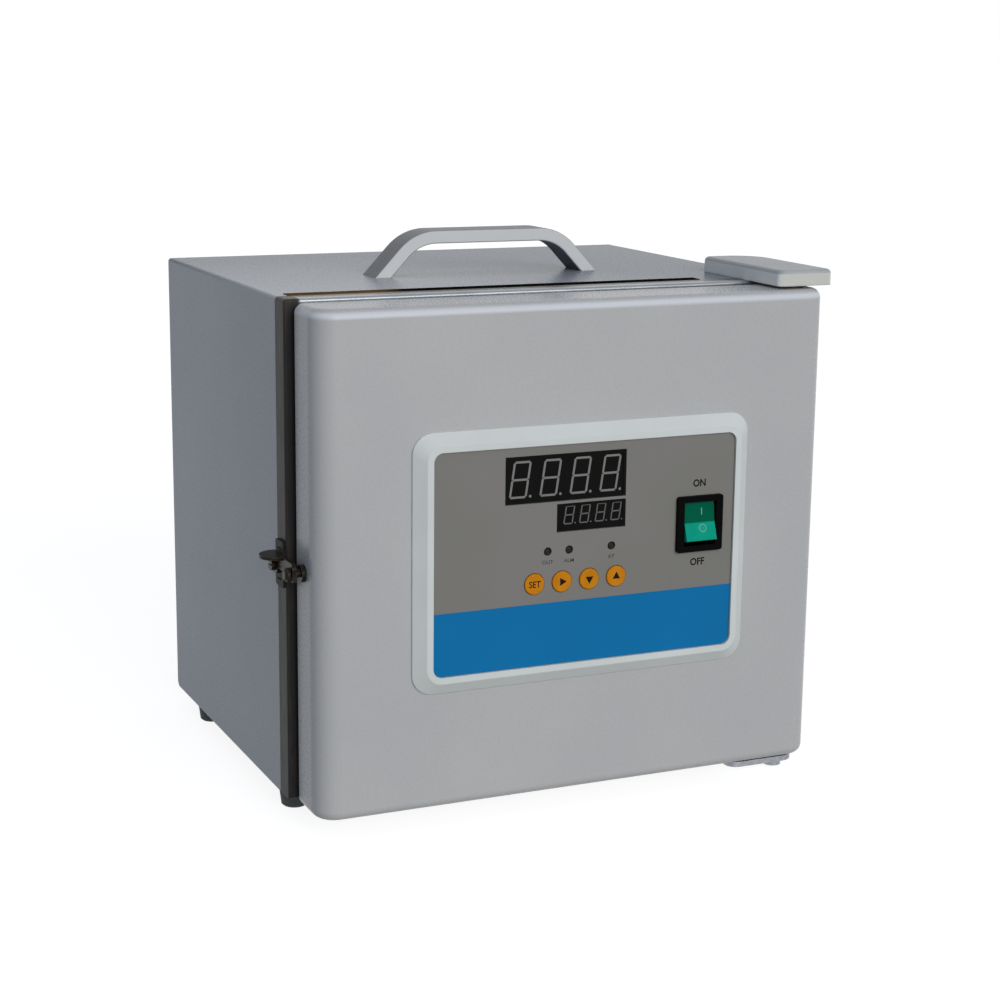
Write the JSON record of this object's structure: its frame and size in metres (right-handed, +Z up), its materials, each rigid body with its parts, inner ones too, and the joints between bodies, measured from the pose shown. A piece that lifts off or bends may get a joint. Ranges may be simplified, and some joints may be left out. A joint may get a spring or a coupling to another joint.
{
  "type": "portable laboratory incubator",
  "caption": "Small benchtop incubator: insulated steel cabinet with a side-hinged door carrying a control panel, hook latch, carry handle, heated chamber and wire shelf.",
  "frame": {"origin": "middle of the whole outline at the level of the bench", "axes": "+Z up, the door faces -Y, +X towards the hinge side"},
  "size_m": [0.311, 0.2686, 0.2966],
  "materials": {
    "painted_steel": "satin powder coat, blue grey",
    "steel": "polished stainless sheet",
    "bright_steel": "bright plated",
    "screw_steel": "zinc plated",
    "rubber": "matt",
    "foam": "mineral fibre board",
    "light_plastic": "fine texture",
    "faceplate": "printed film",
    "black_plastic": "satin",
    "display": "dark tinted window",
    "lamp": "clear tinted",
    "board": "solder mask",
    "key": "satin",
    "rocker": "moulded",
    "brass": "plain"
  },
  "bodies": {
    "cabinet": {"cabinet_shell": "painted_steel", "base_panel": "painted_steel", "back_panel": "painted_steel", "back_screws": "screw_steel", "foot_front_left": "rubber", "foot_front_right": "rubber", "foot_rear_left": "rubber", "foot_rear_right": "rubber", "foot_screws": "screw_steel", "front_frame": "steel", "chamber_liner": "steel", "cabinet_insulation": "foam", "heater_element": "screw_steel", "chamber_floor_plate": "steel", "temperature_probe": "screw_steel", "wire_shelf": "bright_steel", "carry_handle": "bright_steel", "handle_nuts": "screw_steel", "power_inlet": "black_plastic", "inlet_pins": "brass", "inlet_screws": "screw_steel", "fuse_holder": "black_plastic", "power_supply": "board", "top_hinge_plate": "bright_steel", "top_hinge_pin": "screw_steel", "top_hinge_screws": "screw_steel", "hinge_cover": "light_plastic", "lower_hinge_plate": "bright_steel", "lower_hinge_pin": "screw_steel", "lower_hinge_screws": "screw_steel", "latch_base": "steel", "latch_screws": "screw_steel", "latch_pivot": "screw_steel"},
    "door": {"door_skin": "painted_steel", "door_liner": "steel", "door_insulation": "foam", "door_gasket": "rubber", "panel_bezel": "light_plastic", "panel_faceplate": "faceplate", "display_large": "display", "display_small": "display", "indicator_leds": "lamp", "controller_board": "board", "switch_body": "black_plastic", "upper_bush": "brass", "lower_bush": "brass", "latch_stud": "screw_steel"},
    "latch": {"latch_lever": "bright_steel"},
    "rocker": {"switch_rocker": "rocker"},
    "key_mode": {"key_mode": "key"},
    "key_shift": {"key_shift": "key"},
    "key_down": {"key_down": "key"},
    "key_up": {"key_up": "key"}
  },
  "joints": [
    {"name": "door_hinge", "type": "hinge", "parent": "cabinet", "child": "door", "pos_m": [0.1345, -0.11075, 0.142], "axis": [0, 0, 1], "range_deg": [0, 120]},
    {"name": "latch_turn", "type": "hinge", "parent": "cabinet", "child": "latch", "pos_m": [-0.1425, -0.08073, 0.137], "axis": [-1, 0, 0], "range_deg": [0, 65]},
    {"name": "rocker_tilt", "type": "hinge", "parent": "door", "child": "rocker", "pos_m": [0.0713, -0.12645, 0.1505], "axis": [1, 0, 0], "range_deg": [0, 26]},
    {"name": "key_mode_press", "type": "slide", "parent": "door", "child": "key_mode", "axis": [0, 1, 0], "range_m": [0, 0.0005], "stiffness_N_per_m": 400},
    {"name": "key_shift_press", "type": "slide", "parent": "door", "child": "key_shift", "axis": [0, 1, 0], "range_m": [0, 0.0005], "stiffness_N_per_m": 400},
    {"name": "key_down_press", "type": "slide", "parent": "door", "child": "key_down", "axis": [0, 1, 0], "range_m": [0, 0.0005], "stiffness_N_per_m": 400},
    {"name": "key_up_press", "type": "slide", "parent": "door", "child": "key_up", "axis": [0, 1, 0], "range_m": [0, 0.0005], "stiffness_N_per_m": 400}
  ]
}
